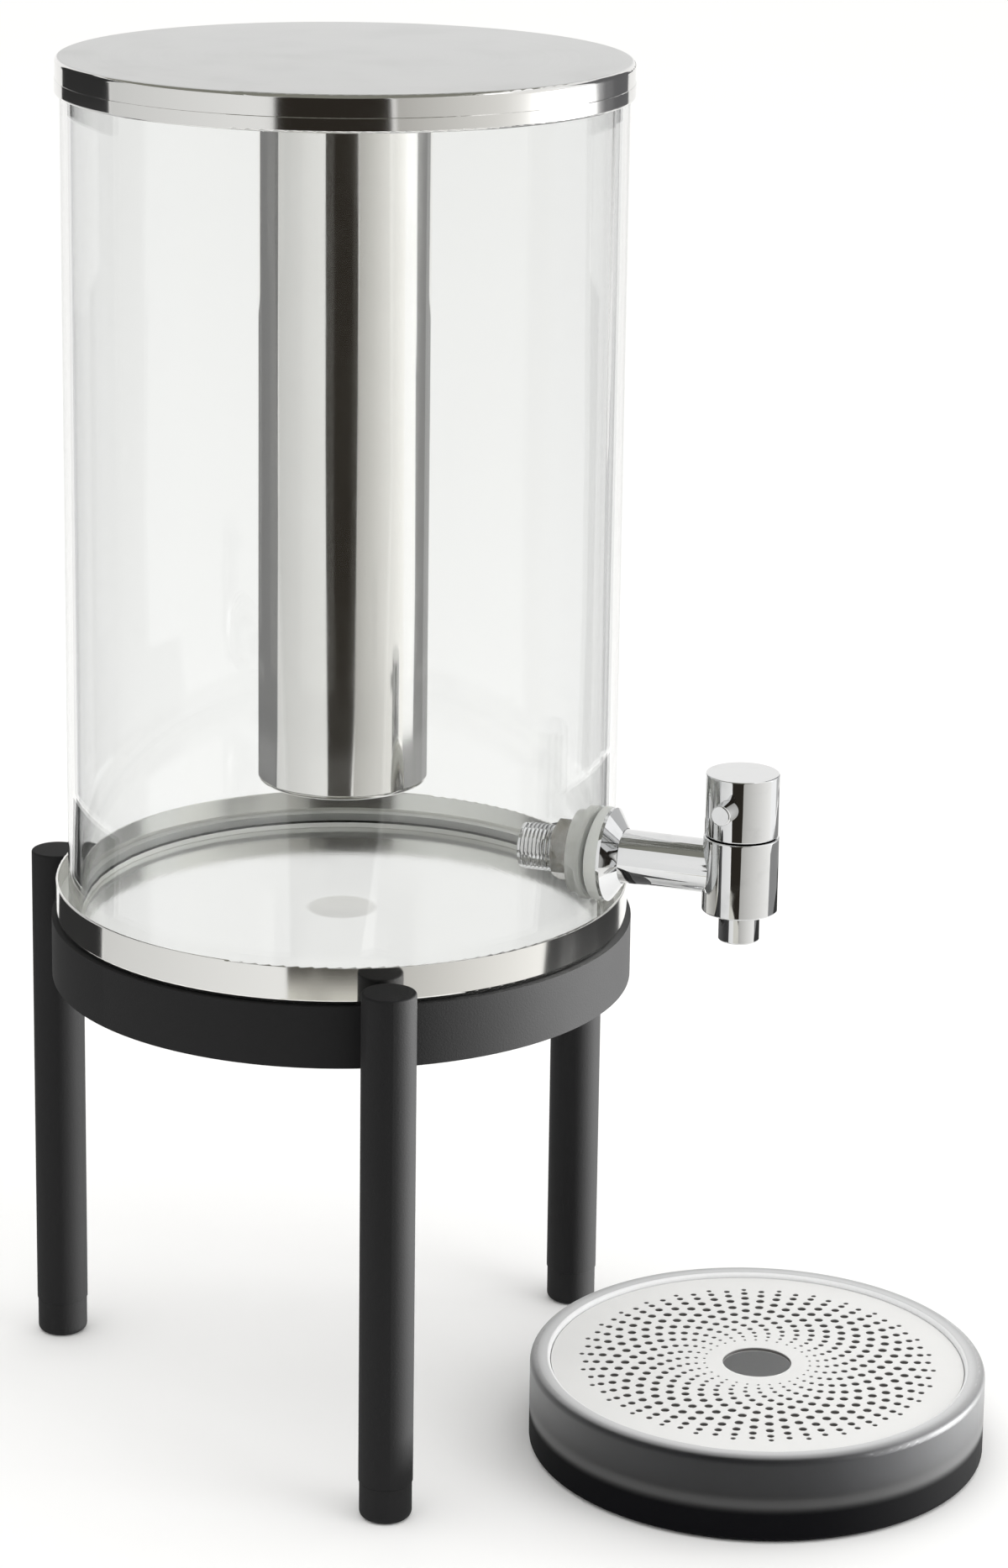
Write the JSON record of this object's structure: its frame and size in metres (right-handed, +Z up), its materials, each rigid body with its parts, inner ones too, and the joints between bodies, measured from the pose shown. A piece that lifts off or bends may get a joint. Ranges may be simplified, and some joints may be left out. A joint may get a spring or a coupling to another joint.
{
  "type": "juice dispenser",
  "caption": "Juice dispenser: glass cylinder with steel lid, pan and ice tube on a three-legged black stand, with a quarter-turn tap and a frosted drip tray under it.",
  "frame": {"origin": "on the dispenser's vertical axis at table level, in the middle of the three legs", "axes": "+Z up, +X from the glass along the tap to its head, +Y completes the right-handed frame"},
  "size_m": [0.3839, 0.2276, 0.5184],
  "materials": {
    "black_coat": "matte black powder coat",
    "black_rubber": "matte black rubber",
    "steel": "polished and satin stainless steel",
    "chrome": "polished chrome",
    "white_plastic": "white plastic",
    "pale_seal": "pale translucent silicone",
    "nut_brass": "nickel-plated brass",
    "clear_glass": "clear glass",
    "frosted_plastic": "frosted translucent plastic"
  },
  "bodies": {
    "stand": {"stand_ring": "black_coat", "leg_rear": "black_coat", "leg_left": "black_coat", "leg_right": "black_coat", "leg_screws": "steel", "foot_caps": "black_rubber"},
    "container": {"base_pan": "steel", "base_seal": "pale_seal", "glass_cylinder": "clear_glass", "tap_body": "chrome", "spout_nozzle": "chrome", "gland_ring": "chrome", "escutcheon": "chrome", "outer_seal": "pale_seal", "inner_seal": "pale_seal", "nut_washer": "white_plastic", "lock_nut": "nut_brass"},
    "tap_handle": {"tap_cap": "chrome", "lever_pin": "chrome", "valve_plug": "white_plastic", "plug_ring_seals": "black_rubber"},
    "lid": {"lid_shell": "steel", "lid_seal": "pale_seal", "tube_collar": "steel", "tube_ring_seal": "black_rubber"},
    "ice_tube": {"ice_tube": "steel"},
    "drip_tray": {"tray_bowl": "frosted_plastic", "tray_base": "black_rubber"},
    "grid": {"tray_grid": "white_plastic"}
  },
  "joints": [
    {"name": "container_lift", "type": "slide", "parent": "stand", "child": "container", "axis": [0, 0, 1], "range_m": [0, 0.06]},
    {"name": "lid_lift", "type": "slide", "parent": "container", "child": "lid", "axis": [0, 0, 1], "range_m": [0, 0.32]},
    {"name": "tube_pull", "type": "slide", "parent": "lid", "child": "ice_tube", "axis": [0, 0, -1], "range_m": [0, 0.03]},
    {"name": "tap_turn", "type": "hinge", "parent": "container", "child": "tap_handle", "pos_m": [0.1576, 0, 0.25], "axis": [0, 0, 1], "range_deg": [0, 90]},
    {"name": "tray_slide", "type": "slide", "parent": "stand", "child": "drip_tray", "axis": [1, 0, 0], "range_m": [-0.16, 0.12]},
    {"name": "grid_lift", "type": "slide", "parent": "drip_tray", "child": "grid", "axis": [0, 0, 1], "range_m": [0, 0.04]}
  ]
}
